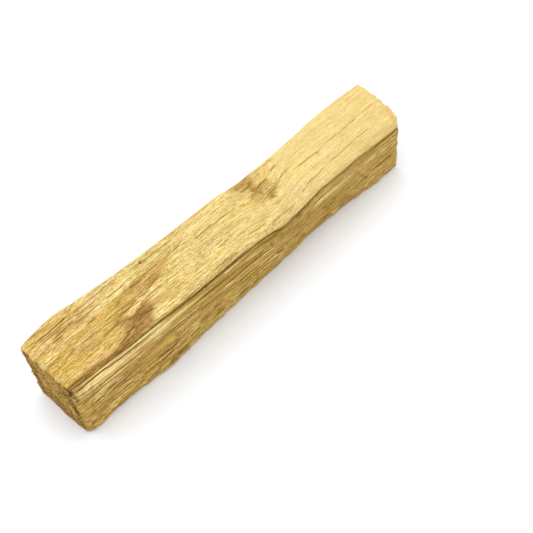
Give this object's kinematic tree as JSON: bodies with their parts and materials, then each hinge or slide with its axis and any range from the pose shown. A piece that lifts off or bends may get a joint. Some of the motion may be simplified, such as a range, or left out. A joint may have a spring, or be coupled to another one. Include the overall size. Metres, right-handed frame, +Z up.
{
  "type": "palo santo stick",
  "caption": "Split and sawn stick of aromatic wood for burning as incense, roughly square in section, with a knot, an open seam along its right edge and a ragged far end.",
  "frame": {"origin": "on the surface that the stick lies on, under the middle of its box", "axes": "+X along the grain from the worn near end to the ragged far end, +Y to the left side, +Z up"},
  "size_m": [0.101, 0.0181, 0.0182],
  "materials": {
    "wood": "bare split and sawn wood, matt"
  },
  "bodies": {
    "root": {"palo_santo_stick": "wood"}
  },
  "joints": []
}
